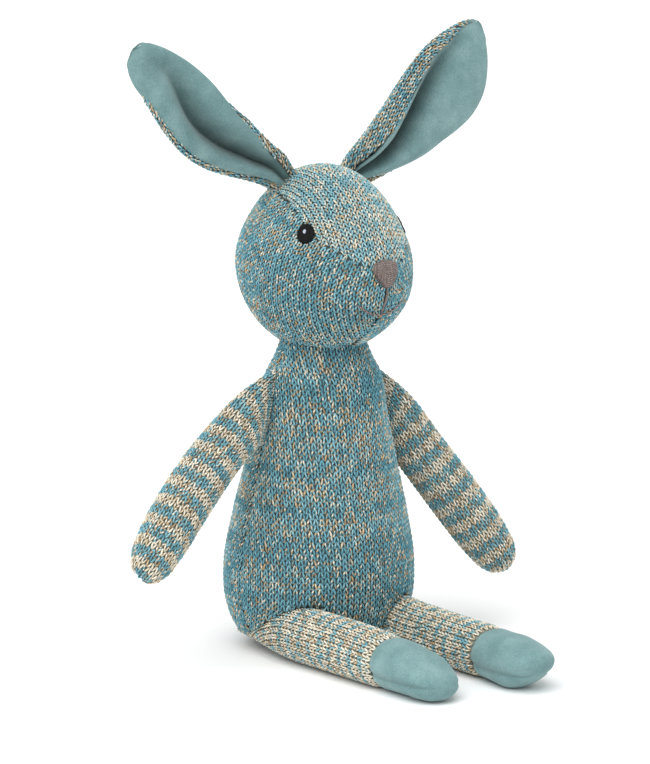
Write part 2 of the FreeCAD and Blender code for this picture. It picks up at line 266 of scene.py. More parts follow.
def thread_material(name, low, high, roughness, sheen=0.0, specular=0.5):
    """Embroidery thread, twisted finely along its length."""
    m = Nodes(name, roughness=roughness, sheen=sheen, specular=specular)
    ply = m.math("SINE", m.math("MULTIPLY", m.yarn_turn(7.0), 4.0 * math.pi))
    fleck = m.math("MULTIPLY_ADD", ply, 0.18, m.noise(1600.0, 2.0))
    m.colour(m.scaled(m.ramp(fleck, [(0.3, low), (0.7, high)]), m.attribute("tone")))
    m.bump(m.math("MULTIPLY_ADD", ply, 0.5, m.noise(4000.0, 1.0)), 0.0001, 0.5)
    return m.material


def filling_material():
    """Loose white fibre."""
    m = Nodes("fibre", roughness=1.0, sheen=0.3, specular=0.1)
    m.colour(m.ramp(m.noise(420.0, 4.0, (1, 1, 0.25)),
                    [(0.3, srgb(206, 206, 200)), (0.7, srgb(246, 246, 242))]))
    m.bump(m.noise(900.0, 4.0), 0.0012, 0.9)
    return m.material


WEAVE_PITCH = 0.9 * MM


def pouch_material():
    """Plain woven cotton."""
    m = Nodes("pouch_weave", roughness=0.95, sheen=0.1, specular=0.1)
    place = m.tree.nodes.new("ShaderNodeTexCoord").outputs["Object"]
    split = m.add("ShaderNodeSeparateXYZ", Vector=place)
    waves = []
    for axis in "XY":
        waves.append(m.math("SINE", m.math("MULTIPLY", split.outputs[axis], 2 * math.pi / WEAVE_PITCH)))
    weave = m.math("MULTIPLY", *waves)
    m.colour(m.ramp(m.math("MULTIPLY_ADD", weave, 0.3, m.noise(700.0)),
                    [(0.2, srgb(188, 178, 158)), (0.8, srgb(230, 222, 204))]))
    m.bump(weave, 0.0002, 0.7)
    return m.material


YARN = yarn_material("yarn_marl")
# The knit grounds are darker than their yarns: painted shade between the stitches. The pressed ground,
# where stitches are left out, is not.
GAP_SHADE = ground_material("knit_gap_shade", srgb(52, 64, 66), srgb(98, 110, 108))
GAP_SHADE_PALE = ground_material("knit_gap_shade_pale", srgb(78, 84, 78), srgb(136, 138, 126))
GROUND_PRESSED = ground_material("knit_ground_pressed", srgb(84, 120, 126), srgb(122, 158, 164))
GAP_SHADE_CREAM = ground_material("knit_gap_shade_cream", srgb(100, 110, 102), srgb(158, 160, 146))
VELOUR = velour_material()
THREAD_BLACK = thread_material("satin_black", srgb(2, 2, 3), srgb(18, 18, 20), 0.5, specular=0.15)
THREAD_PALE = thread_material("satin_pale", srgb(150, 158, 174), srgb(206, 212, 226), 0.4)
THREAD_TAUPE = thread_material("satin_taupe", srgb(64, 54, 51), srgb(146, 130, 124), 0.5, 0.1)
FIBRE = filling_material()
POUCH = pouch_material()


# ---------------- meshes

def make_mesh(name, points, faces, uv=None, yarn_uv=None, material_index=None, materials=(),
              attributes=None):
    """A smooth-shaded mesh object from arrays. faces is a list of (n, 3) and (n, 4) index arrays;
    uv and yarn_uv hold one pair for each corner, in the order of the faces."""
    points = np.asarray(points, np.float32)
    corners = np.concatenate([f.ravel() for f in faces]).astype(np.int32)
    sizes = np.concatenate([np.full(len(f), f.shape[1]) for f in faces]).astype(np.int32)
    starts = np.concatenate([[0], np.cumsum(sizes)[:-1]]).astype(np.int32)
    mesh = bpy.data.meshes.new(name)
    mesh.vertices.add(len(points))
    mesh.vertices.foreach_set("co", points.ravel())
    mesh.loops.add(len(corners))
    mesh.loops.foreach_set("vertex_index", corners)
    mesh.polygons.add(len(sizes))
    mesh.polygons.foreach_set("loop_start", starts)
    mesh.polygons.foreach_set("use_smooth", np.ones(len(sizes), bool))
    for key, pairs in (("OFBake", uv), ("yarn", yarn_uv)):
        if pairs is not None:
            layer = mesh.uv_layers.new(name=key)
            layer.uv.foreach_set("vector", np.asarray(pairs, np.float32).ravel())
    for material in materials:
        mesh.materials.append(material)
    if material_index is not None:
        mesh.polygons.foreach_set("material_index", material_index.astype(np.int32))
    for key, values in (attributes or {}).items():
        layer = mesh.attributes.new(key, "FLOAT", "POINT")
        layer.data.foreach_set("value", np.asarray(values, np.float32))
    mesh.update(calc_edges=True)
    mesh.validate()
    obj = bpy.data.objects.new(name, mesh)
    bpy.context.scene.collection.objects.link(obj)
    return obj


def grid_faces(rows, columns, keep=None, close=False):
    """Quads of a rows x columns grid of points; close joins the last column to the first."""
    i, j = np.meshgrid(np.arange(rows - 1), np.arange(columns if close else columns - 1), indexing="ij")
    k = (j + 1) % columns
    quads = np.stack([i * columns + j, i * columns + k, (i + 1) * columns + k, (i + 1) * columns + j], -1)
    quads = quads.reshape(-1, 4)
    if keep is not None:
        quads = quads[keep.ravel()[quads].all(1)]
    return quads


def grid_uv(rows, columns, close=False):
    """One pair for each corner of grid_faces' quads, from 0 to 1 over the whole grid."""
    wide = columns if close else columns - 1
    i, j = np.meshgrid(np.arange(rows - 1), np.arange(wide), indexing="ij")
    u0, u1, v0, v1 = j / wide, (j + 1) / wide, i / (rows - 1), (i + 1) / (rows - 1)
    corners = [np.stack(pair, -1) for pair in ((u0, v0), (u1, v0), (u1, v1), (u0, v1))]
    return np.stack(corners, -2).reshape(-1, 4, 2)


def rings(centre, normal, wide, thick, angle):
    """Ovals of points round centre lines: wide along the surface and thick away from it."""
    side = unit(np.cross(np.gradient(centre, axis=1), normal))
    up = unit(np.cross(side, np.gradient(centre, axis=1)))
    return (centre[:, :, None] + side[:, :, None] * (wide[..., None] * np.cos(angle))[..., None]
            + up[:, :, None] * (thick[..., None] * np.sin(angle))[..., None])


def cells(count, columns):
    """The column and row of each of count cells of a texture."""
    return np.stack([np.arange(count) % columns, np.arange(count) // columns], -1)[:, None, :]


class Chart:
    """A surface measured in cloth lengths: s runs across the wales and v along them.

    form(a, t) gives points; v is the length along the line a = middle and s the length along a
    row of constant t from that line, so the wales stay parallel to the middle line. facing is a
    direction on the outer side; without it outer is away from the middle of each row."""

    def __init__(self, form, across, along, middle=0.0, facing=None, step=0.7 * MM):
        fine_t = np.linspace(along[0], along[1], 500)
        line = form(np.full_like(fine_t, middle), fine_t)
        length = np.concatenate([[0], np.cumsum(np.linalg.norm(np.diff(line, axis=0), axis=1))])
        self.v = np.arange(0, length[-1] + step, step)
        t = np.interp(self.v, length, fine_t)
        fine_a = np.linspace(across[0], across[1], 720)
        grid = form(fine_a[None, :], t[:, None])
        run = np.concatenate([np.zeros((len(t), 1)),
                              np.cumsum(np.linalg.norm(np.diff(grid, axis=1), axis=2), axis=1)], axis=1)
        at_middle = np.array([np.interp(middle, fine_a, row) for row in run])
        run = run - at_middle[:, None]
        self.s = np.arange(run.min(), run.max() + step, step)
        a = np.stack([np.interp(self.s, row, fine_a) for row in run])
        self.low, self.high = run[:, 0], run[:, -1]
        tt = np.broadcast_to(t[:, None], a.shape)
        self.point = form(a, tt)
        ea, et = (across[1] - across[0]) * 1e-3, (along[1] - along[0]) * 1e-3
        da = form(a + ea, tt) - form(a - ea, tt)
        dt = form(a, np.minimum(tt + et, along[1])) - form(a, np.maximum(tt - et, along[0]))
        self.normal = unit(np.cross(da, dt))
        out = self.point - self.point.mean(1, keepdims=True) if facing is None else facing
        on_cloth = (self.s >= self.low[:, None]) & (self.s <= self.high[:, None])
        if ((self.normal * out).sum(-1) * on_cloth).sum() < 0:
            self.normal = -self.normal
        self.a, self.t = a, tt
        self.step = step

    def sample(self, s, v):
        """points, normals, a, t and whether the place is on the cloth"""
        fs = np.clip((s - self.s[0]) / self.step, 0, len(self.s) - 1.001)
        fv = np.clip((v - self.v[0]) / self.step, 0, len(self.v) - 1.001)
        i, j = fv.astype(int), fs.astype(int)
        u, w = (fv - i)[..., None], (fs - j)[..., None]

        def mixed(table):
            return ((1 - u) * ((1 - w) * table[i, j] + w * table[i, j + 1])
                    + u * ((1 - w) * table[i + 1, j] + w * table[i + 1, j + 1]))
        low = np.interp(v, self.v, self.low)
        high = np.interp(v, self.v, self.high)
        inside = (s >= low) & (s <= high) & (v >= 0) & (v <= self.v[-1])
        a = mixed(self.a[..., None])[..., 0]
        t = mixed(self.t[..., None])[..., 0]
        return mixed(self.point), unit(mixed(self.normal)), a, t, inside


# One leg of a stitch, from tip to tip: offset across (wales), along (courses), half width (wales),
# lift and half thickness (wales). The two legs mirror each other.
LEG = np.array([
    (0.08, -0.84, 0.02, -0.20, 0.02),
    (0.15, -0.44, 0.125, 0.04, 0.11),
    (0.25, 0.00, 0.165, 0.13, 0.15),
    (0.335, 0.44, 0.13, 0.05, 0.12),
    (0.37, 0.84, 0.02, -0.20, 0.02),
])
LEG_PLACE = 0.25                    # where a leg crosses the middle of its stitch, in wales
RING = 5                            # points round a leg


def leg_mesh(centre, normal, wide, thick):
    """Closed spindles along centre lines of five points each."""
    count = len(centre)
    angle = np.pi / 2 + 2 * np.pi * np.arange(RING) / RING
    middle = rings(centre, normal, wide, thick, angle)[:, 1:4].reshape(count, 3 * RING, 3)
    points = np.concatenate([centre[:, :1], middle, centre[:, 4:]], axis=1)
    per = 3 * RING + 2
    tris, quads, tri_uv, quad_uv = [], [], [], []
    last = per - 1
    for k in range(RING):
        n = (k + 1) % RING
        here, there = k / RING, (k + 1) / RING
        tris += [(0, 1 + n, 1 + k), (last, 1 + 2 * RING + k, 1 + 2 * RING + n)]
        tri_uv += [((here + there) / 2, 0.0), (there, 0.25), (here, 0.25),
                   ((here + there) / 2, 1.0), (here, 0.75), (there, 0.75)]
        for ring in range(2):
            low, high = 1 + ring * RING, 1 + (ring + 1) * RING
            quads.append((low + k, low + n, high + n, high + k))
            f, g = 0.25 + 0.25 * ring, 0.5 + 0.25 * ring
            quad_uv += [(here, f), (there, f), (there, g), (here, g)]
    offset = (np.arange(count) * per)[:, None, None]
    return (points.reshape(-1, 3), (np.array(tris)[None] + offset).reshape(-1, 3),
            (np.array(quads)[None] + offset).reshape(-1, 4), np.array(tri_uv), np.array(quad_uv), per)


GROUND_STEP = 1.2 * MM              # spacing of the ground cloth's points
GROUND_SHARE = 0.12                 # its share of the texture's height
LEG_SPAN = 0.84                     # a leg from its second point to its fourth in courses, when relaxed
LEAST_STRETCH, MOST_STRETCH = 0.5, 1.8      # stitches that reshape takes past these are left out


def ground_cloth(chart, edge, sink, wale, reshape):
    """The cloth under the stitches: its points, quads, the texture place of each point, and whether
    each quad is pressed out of the bare form."""
    gs = np.arange(chart.s[0], chart.s[-1] + GROUND_STEP, GROUND_STEP)
    gv = np.arange(0, chart.v[-1], GROUND_STEP)
    s, v = np.meshgrid(gs, gv)
    bare, normal, a, t, _ = chart.sample(s, v)
    gap = edge(bare, a, t)
    p = bare if reshape is None else reshape(bare)
    pressed = (np.linalg.norm(p - bare, axis=-1) > 0.5 * MM).ravel()
    p = p - normal * (0.16 * wale + sink(gap))[..., None]
    low, high = (np.interp(v, chart.v, limit) for limit in (chart.low, chart.high))
    margin = GROUND_STEP + 0.1 * MM
    near = (s > low - margin) & (s < high + margin) & (gap > -0.9 * MM)
    quads = grid_faces(len(gv), len(gs), near)
    used = np.unique(quads)
    renumber = np.full(s.size, -1)
    renumber[used] = np.arange(len(used))
    uv = np.stack([(s - gs[0]) / (gs[-1] - gs[0]) * 0.99 + 0.005,
                   1 - GROUND_SHARE + (v / gv[-1]) * GROUND_SHARE * 0.95], -1)
    return p.reshape(-1, 3)[used], renumber[quads], uv.reshape(-1, 2)[used], pressed[quads].all(1)


def knit(name, chart, edge, wale, course, paint, seed, depth, seam_width=1.9 * MM, apex=1.0,
         reshape=None, ground=GAP_SHADE, splay=1.25):
    """A panel of stockinette on a chart.

    edge(points, a, t) is the distance to the nearest seam, more than 0 inside the panel. paint gives
    each leg's colours from its wale and course numbers. depth and seam_width are how far and how wide
    the cloth sinks at a seam. apex is 1 for legs that meet at the top of the stitch, -1 for the
    bottom. reshape moves points of the bare form. splay opens the legs of each stitch."""
    def sink(gap):
        return depth * bell(np.clip(gap, 0, 1), seam_width)

    rng = np.random.default_rng(seed)
    first = math.floor(chart.s[0] / wale)
    last = math.ceil(chart.s[-1] / wale)
    rows = int(chart.v[-1] / course)
    column, row = np.meshgrid(np.arange(first, last), np.arange(rows), indexing="ij")
    column, row = column.ravel(), row.ravel()
    s0 = (column + 0.5) * wale
    v0 = (row + 0.5) * course
    on_cloth = chart.sample(s0, v0)[-1]
    column, row, s0, v0 = (np.repeat(x[on_cloth], 2) for x in (column, row, s0, v0))
    hand = np.tile([-1.0, 1.0], len(s0) // 2)
    wobble = rng.normal(0, 0.03, (2, len(s0)))
    spread = LEG_PLACE + splay * (LEG[:, 0] - LEG_PLACE)
    s = s0[:, None] + wale * (hand[:, None] * spread + wobble[0][:, None])
    v = v0[:, None] + course * (-apex * LEG[:, 1] + wobble[1][:, None])
    if apex > 0:
        s, v = s[:, ::-1], v[:, ::-1]
    p, n, a, t, inside = chart.sample(s, v)
    gap = edge(p, a, t)
    pulled = p if reshape is None else reshape(p)
    spacing = np.linalg.norm(pulled[:, 3] - pulled[:, 1], axis=1) / (LEG_SPAN * course)
    keep = (gap[:, 2] > 0.02 * wale) & inside[:, 1:4].all(1)
    keep &= (spacing > LEAST_STRETCH) & (spacing < MOST_STRETCH)
    p, n, gap, column, row = (x[keep] for x in (pulled, n, gap, column, row))
    profile = LEG if apex < 0 else LEG[::-1]
    girth = 1 + rng.normal(0, 0.07, len(p))
    lift = wale * profile[:, 3] - sink(gap)
    centre = p + n * lift[..., None]
    wide = wale * profile[:, 2] * girth[:, None]
    thick = wale * profile[:, 4] * girth[:, None]
    points, tris, quads, tri_uv, quad_uv, per = leg_mesh(centre, n, wide, thick)
    strand, second = (np.repeat(ply, per) for ply in paint(column, row, rng))
    tone = np.repeat(rng.normal(1.0, 0.07, len(p)), per)
    count = len(p)

    cloth_points, cloth, cloth_uv, pressed = ground_cloth(chart, edge, sink, wale, reshape)

    # each leg has its own cell of the texture
    columns = math.ceil(math.sqrt(count / (1 - GROUND_SHARE)))
    lines = math.ceil(count / columns)
    cell = cells(count, columns)

    def placed(pairs):
        spread_out = (cell + 0.1 + 0.8 * pairs[None]) / np.array([columns, lines / (1 - GROUND_SHARE)])
        return spread_out.reshape(-1, 2)

    phase = rng.random((count, 1, 1)) * np.array([1.0, 0.0])
    uv = np.concatenate([placed(tri_uv), placed(quad_uv), cloth_uv[cloth.ravel()]])
    wound = [(pairs[None] + phase).reshape(-1, 2) for pairs in (tri_uv, quad_uv)]
    yarn_uv = np.concatenate([*wound, np.zeros((cloth.size, 2))])
    index = np.concatenate([np.zeros(len(tris) + len(quads)), 1.0 + pressed])
    # ground colours the gaps between the stitches with painted shade; GROUND_PRESSED is the lighter cloth
    # pressed out of the bare form
    materials = (YARN, ground, GROUND_PRESSED)[:2 if reshape is None else 3]
    blank = np.zeros(len(cloth_points))
    return make_mesh(name, np.concatenate([points, cloth_points]), [tris, quads, cloth + len(points)],
                     uv, yarn_uv, index, materials,
                     {"strand": np.concatenate([strand, blank]),
                      "second": np.concatenate([second, blank]),
                      "tone": np.concatenate([tone, blank + 1])})


def runs(column, row, seed, length):
    """Noise from 0 to 1 that is drawn out along each course, as colour changes along a yarn."""
    q = np.stack([column / length, row * 1.0, np.full(len(row), seed * 7.3)], -1)
    return noise(q, 1.0)


def plies(rng, pale, tan, teal, bright=1.0):
    """One ply of each stitch leg: chances of cream and of tan, and the mean of the teals."""
    pick = rng.random(len(pale))
    colour = np.clip(rng.normal(teal, 0.13, len(pale)), 0.02, 0.57)
    colour = np.where(pick < pale + tan, rng.uniform(0.64, 0.80, len(pale)), colour)
    return np.where(pick < pale, rng.uniform(0.80, 0.84 + 0.16 * bright, len(pale)), colour)


def marl(pale, tan, teal=0.32, bright=0.4):
    """Teal yarn flecked with cream and tan; pale and tan are their shares of the second ply, and
    bright is how far up the creams go."""
    def paint(column, row, rng):
        band = noise(np.stack([row * 0.0, row / 1.6, row * 0.0 + 3.0], -1), 1.0)
        chance = (0.6 + 0.8 * band) * (0.9 + 0.2 * runs(column, row, 3, 5.0))
        shift = 0.10 * (runs(column, row, 4, 5.0) - 0.5) + 0.20 * (band - 0.5)
        return [plies(rng, pale * chance * share, tan * chance * share, teal + shift, bright)
                for share in (0.4, 1.0)]
    return paint


def striped(period, cream_rows, first=0, dashes=0.0, teal=0.36):
    """Rows of cream between rows of teal; dashes is the share of cream rows broken by teal."""
    def paint(column, row, rng):
        is_cream = ((row + first) % period < cream_rows) * 1.0
        is_cream = np.where(runs(column, row, 5, 1.3) < dashes, 0.2, is_cream)
        return [plies(rng, 0.10 + is_cream * cream, 0.12 + 0.08 * is_cream, teal)
                for cream in (0.84, 0.58)]
    return paint


def tube(name, lines, radius, material, normals, flat, seed):
    """Threads along polylines: lines is (n, points, 3). Their ends narrow, and flat is their
    thickness as a share of their width."""
    lines = np.asarray(lines, float)
    count, length = lines.shape[:2]
    sides = 6
    f = np.linspace(-1, 1, length)
    size = np.broadcast_to(np.sqrt(np.clip(1 - np.abs(f) ** 6, 0.05, 1)) * radius, (count, length))
    points = rings(lines, normals, size, size * flat, 2 * np.pi * np.arange(sides) / sides)
    base = grid_faces(length, sides, close=True)
    base_uv = grid_uv(length, sides, close=True).reshape(-1, 2)
    caps = np.stack([np.arange(sides)[::-1], (length - 1) * sides + np.arange(sides)])
    offset = (np.arange(count) * length * sides)[:, None, None]
    quads = (base[None] + offset).reshape(-1, 4)
    ends = (caps[None] + offset).reshape(-1, sides)
    cap_uv = np.tile(np.array([[0.01 + 0.001 * s, 0.001 * (s % 2)] for s in range(sides)]), (2, 1))
    columns = math.ceil(math.sqrt(count))
    cell = cells(count, columns)
    uv = np.concatenate([((cell + 0.06 + 0.88 * base_uv[None]) / columns).reshape(-1, 2),
                         ((cell + 0.02) / columns + 0.002 * cap_uv[None]).reshape(-1, 2)])
    yarn_uv = np.concatenate([np.tile(base_uv, (count, 1)), np.zeros((ends.size, 2))])
    tone = np.repeat(np.random.default_rng(seed).normal(1.0, 0.12, count), length * sides)
    return make_mesh(name, points.reshape(-1, 3), [quads, ends], uv, yarn_uv, None, (material,),
                     {"tone": tone})


def sheet_mesh(name, points, material, close=False, tone=None, flip=False):
    """A grid of points as one smooth surface with its own texture layout; flip turns it inside out."""
    rows, columns = points.shape[:2]
    quads = grid_faces(rows, columns, close=close)
    uv = grid_uv(rows, columns, close)
    if flip:
        quads, uv = quads[:, ::-1], uv[:, ::-1]
    shade = np.ones(rows * columns) if tone is None else tone.ravel()
    return make_mesh(name, points.reshape(-1, 3), [quads], (uv * 0.98 + 0.01).reshape(-1, 2), None, None,
                     (material,), {"tone": shade})


# ---------------- forms

TORSO_SIDE, TORSO_FRONT, HEAD_FORWARD = 44.0 * MM, 40.7 * MM, 3.0 * MM
HEAD_SIDE, HEAD_FRONT, HEAD_HALF, HEAD_LEVEL = 36.7 * MM, 42.2 * MM, 39.7 * MM, 174.6 * MM
LEG_RADIUS, HIP_BACK = 12.2 * MM, 20.0 * MM
LEG_SIDE = {"left": 20.0 * MM, "right": 29.0 * MM}      # a leg's middle line, from the body's middle
TOE_FRONT = {"left": 134.0 * MM, "right": 121.0 * MM}   # how far forward a toe reaches
TOE_IN = {"left": 2.0 * MM, "right": 5.0 * MM}          # how far a leg turns in towards its toe
CAP_START = {"left": 97.0 * MM, "right": 84.0 * MM}     # where the knit ends and the foot starts

TORSO_PROFILE = [                   # level in mm; side, depth and forward shift as shares of the most
    (1.8, 0.02, 0.02, 0.0), (1.6, 0.28, 0.28, 0.0), (1.6, 0.50, 0.50, 0.0), (3.4, 0.70, 0.70, 0.0),
    (9.0, 0.86, 0.86, 0.0), (20.0, 0.97, 0.97, 0.0), (36.0, 1.00, 1.00, 0.0),
    (60.0, 0.915, 0.92, 0.2), (84.0, 0.785, 0.80, 0.5), (108.0, 0.665, 0.68, 0.8),
    (125.0, 0.595, 0.585, 1.0), (131.6, 0.515, 0.505, 1.0), (137.0, 0.462, 0.455, 1.0),
    (142.0, 0.43, 0.42, 1.0),
]
TORSO_ROWS = np.array(TORSO_PROFILE)
TORSO_HOPS = np.hypot(np.diff(TORSO_ROWS[:, 0]), np.diff(TORSO_ROWS[:, 1]) * TORSO_SIDE / MM)
torso_at = curve(np.column_stack([np.concatenate([[0], np.cumsum(TORSO_HOPS)]), TORSO_ROWS]))
TORSO_START, TORSO_END = 0.6, float(TORSO_HOPS.sum())


def torso_form(a, t):
    """a turns from the front towards the left side, t runs from under the seat up to the neck."""
    level, wide, deep, lean = torso_at(np.broadcast_to(t, np.broadcast(a, t).shape))
    return np.stack([TORSO_SIDE * wide * np.sin(a),
                     -HEAD_FORWARD * lean - TORSO_FRONT * deep * np.cos(a), level * MM], -1)


LEG_STATIONS = [                    # share of the length, then shares of the leg's radius: half width,
                                    # half height and level of the middle; the hips are alike
    (0.00, 0.22, 0.10, 0.52), (0.06, 0.46, 0.28, 0.68), (0.15, 0.74, 0.62, 0.90),
    (0.27, 0.96, 0.94, 1.03),
]
FOOT_STATIONS = {                   # the same, from below the knee to the toe
    "left": [
        (0.45, 0.99, 0.95, 0.98), (0.64, 1.00, 0.93, 0.95), (0.78, 1.03, 0.92, 0.94),
        (0.90, 1.06, 0.90, 0.92), (0.945, 0.94, 0.68, 1.00), (0.975, 0.72, 0.46, 1.08),
        (0.992, 0.42, 0.26, 1.14), (1.00, 0.02, 0.02, 1.17)],
    "right": [
        (0.45, 1.00, 1.00, 1.05), (0.64, 1.02, 0.98, 1.00), (0.74, 1.04, 0.94, 0.95),
        (0.85, 1.07, 0.86, 0.88), (0.92, 1.00, 0.72, 0.73), (0.955, 0.86, 0.57, 0.62),
        (0.98, 0.60, 0.40, 0.58), (0.993, 0.34, 0.23, 0.57), (1.00, 0.02, 0.02, 0.57)],
}
leg_at = {side: curve(LEG_STATIONS + FOOT_STATIONS[side]) for side in SIDES}
LEG_INSET = 0.35 * MM               # room for the stitches under the leg's outline


def toe_in(side, t):
    """The place across of the leg's middle line, which turns in towards the toe."""
    return SIDES[side] * (LEG_SIDE[side] - TOE_IN[side] * np.clip((t - 0.35) / 0.65, 0, 1) ** 1.5)


def leg_form(side, inset=LEG_INSET):
    reach = HIP_BACK + TOE_FRONT[side]

    def form(a, t):
        """a turns from the top of the leg towards the rabbit's left, t runs from hip to toe."""
        shape = np.broadcast(a, t).shape
        wide, tall, level = leg_at[side](np.broadcast_to(t, shape))
        wide = np.maximum(wide * LEG_RADIUS - inset, 0.02 * MM)
        tall = np.maximum(tall * LEG_RADIUS - inset, 0.02 * MM)
        return np.stack([toe_in(side, t) + wide * np.sin(a), HIP_BACK - reach * t + 0 * wide,
                         level * LEG_RADIUS + tall * np.cos(a)], -1)
    return form


def over_legs(p):
    """The torso's cloth rests on the legs: what would be inside a leg is lifted on to it."""
    out = p.copy()
    clear = 0.9 * MM
    for side, sign in SIDES.items():
        share = (HIP_BACK - p[..., 1]) / (HIP_BACK + TOE_FRONT[side])
        wide, tall, level = leg_at[side](np.clip(share, 0, 1))
        across = (p[..., 0] - sign * LEG_SIDE[side]) / (wide * LEG_RADIUS + clear)
        roof = level * LEG_RADIUS + (tall * LEG_RADIUS + clear) * np.sqrt(np.clip(1 - across ** 2, 0, 1))
        above_leg = (np.abs(across) < 1) & (share > -0.01)
        out[..., 2] = np.where(above_leg & (out[..., 2] < roof), roof, out[..., 2])
    return out


GUSSET = [                          # degrees from the nose over the crown, half width in mm
    (-4.0, 0.0), (-1.0, 3.0), (1.6, 5.6), (4.8, 10.2), (15.0, 18.3), (30.0, 23.6), (48.0, 25.3),
    (66.0, 25.2), (94.0, 22.9), (120.0, 18.0), (150.0, 11.0), (176.0, 6.0), (184.0, 0.0),
]
gusset_at = curve(GUSSET)
HEAD_CENTRE = np.array([0.0, -HEAD_FORWARD, HEAD_LEVEL])
HEAD_SIZE = np.array([HEAD_SIDE, HEAD_FRONT, HEAD_HALF])
MUZZLE = unit([0.0, -1.0, -0.22])
EYES = {side: np.array([27.4 * sign, -22.6, 16.1]) * MM for side, sign in SIDES.items()}
MUZZLE_RISE, EYE_HOLLOW = 1.6 * MM, 1.0 * MM


def head_surface(q):
    """From unit directions in the head's stretched space to points: an egg with its narrow end up,
    full at the muzzle and hollowed at the eyes."""
    q = unit(q)
    grow = MUZZLE_RISE * np.exp(-((1 - q @ MUZZLE) / 0.07))
    for eye in EYES.values():
        grow = grow - EYE_HOLLOW * np.exp(-((1 - q @ unit(eye / HEAD_SIZE)) / 0.008))
    p = q * HEAD_SIZE * (1 + grow / HEAD_FRONT)[..., None]
    high, low = smooth(q[..., 2]), bell(q[..., 2] + 0.4, 0.38)
    round_about = (1 - 0.075 * high + 0.015 * low)[..., None]
    p = p * np.concatenate([round_about, round_about, (1 + 0.095 * high)[..., None]], -1)
    return HEAD_CENTRE + p + FRONT * (1.5 * MM * low)[..., None]


def gusset_form(x, turn):
    """x is the place across as a share of the head's half width, turn goes from nose to nape."""
    x, turn = np.broadcast_arrays(x, turn)
    x = np.clip(x, -0.98, 0.98)
    rim = np.sqrt(1 - x ** 2)
    return head_surface(np.stack([x, -np.cos(turn) * rim, np.sin(turn) * rim], -1))


CHEEK_LEAN = math.radians(14)


def cheek_form(side):
    top = np.array([0.0, -math.sin(CHEEK_LEAN), math.cos(CHEEK_LEAN)])
    back = np.array([0.0, math.cos(CHEEK_LEAN), math.sin(CHEEK_LEAN)])
    out = np.array([SIDES[side], 0.0, 0.0])

    def form(a, t):
        """a turns from the side of the head to its back, t runs from below to the top."""
        a, t = np.broadcast_arrays(a, t)
        q = (np.sin(t)[..., None] * top + np.cos(t)[..., None]
             * (np.cos(a)[..., None] * out + np.sin(a)[..., None] * back))
        return head_surface(q)
    return form


HEAD_DEGREE = 0.7                   # millimetres of the head's surface to one degree


def gusset_edge(p):
    """Distance from the seam between the strip over the crown and the cheeks, above 0 on the strip."""
    q = (p - HEAD_CENTRE) / HEAD_SIZE
    turn = np.degrees(np.arctan2(q[..., 2], -q[..., 1]))
    turn = np.where(turn < -90, turn + 360, turn)
    half = gusset_at(turn)[0] * MM
    steep = np.abs(gusset_at(turn + 1)[0] - gusset_at(turn - 1)[0]) / 2 / HEAD_DEGREE
    lie = np.sqrt(np.clip(1 - (p[..., 0] / HEAD_SIDE) ** 2, 0.15, 1))
    return (half - np.abs(p[..., 0])) / np.sqrt(lie ** 2 + steep ** 2)


ARM_STATIONS = [                    # share of the reach, half width, half thickness in mm
    (0.00, 17.4, 1.7), (0.06, 15.6, 4.4), (0.13, 13.8, 7.4), (0.22, 12.4, 9.5), (0.32, 11.9, 10.4),
    (0.45, 12.0, 11.0), (0.65, 12.0, 11.2), (0.84, 11.0, 10.4), (0.93, 9.0, 8.6), (0.98, 5.3, 5.0),
    (1.00, 1.2, 1.2),
]
arm_at = curve(ARM_STATIONS)
SHOULDER = {side: np.array([29.8 * sign, -2.0, 112.0]) * MM for side, sign in SIDES.items()}
HAND = {"left": np.array([82.6, -35.4, 28.6]) * MM, "right": np.array([-108.0, -14.0, 46.9]) * MM}
ARM_INSET = 0.3 * MM                # room for the stitches under the arm's outline
ARM_TURN = math.radians(35)         # from the arm's front to its middle wale
ARM_BOW = {"left": 1.0 * MM, "right": 7.5 * MM}     # the middle of the arm arches over its chord


def arm_axes(side):
    """From shoulder to hand, down the shoulder seam, and the arm's own width and thickness."""
    reach = HAND[side] - SHOULDER[side]
    along = unit(reach)
    seam = unit([0.22 * SIDES[side], 0.0, -0.975])
    across = unit(seam - along * (seam @ along))
    front = unit(np.cross(seam, along)) * SIDES[side]
    return reach, seam, across, front


def arm_form(side):
    reach, seam, across, front = arm_axes(side)

    def form(a, t):
        """a turns from the front towards the outside and up, t runs from the shoulder to the hand."""
        a, t = np.broadcast_arrays(a, t)
        wide, thick = np.maximum(arm_at(t) * MM - ARM_INSET, 0.3 * MM)
        turned = smooth(t / 0.26)[..., None]
        span = unit(seam * (1 - turned) + across * turned)
        angle = a + ARM_TURN
        bowed = across * (ARM_BOW[side] * np.sin(math.pi * t ** 0.75))[..., None]
        return (SHOULDER[side] + reach * t[..., None] - bowed
                - span * (wide * np.sin(angle))[..., None] + front * (thick * np.cos(angle))[..., None])
    return form


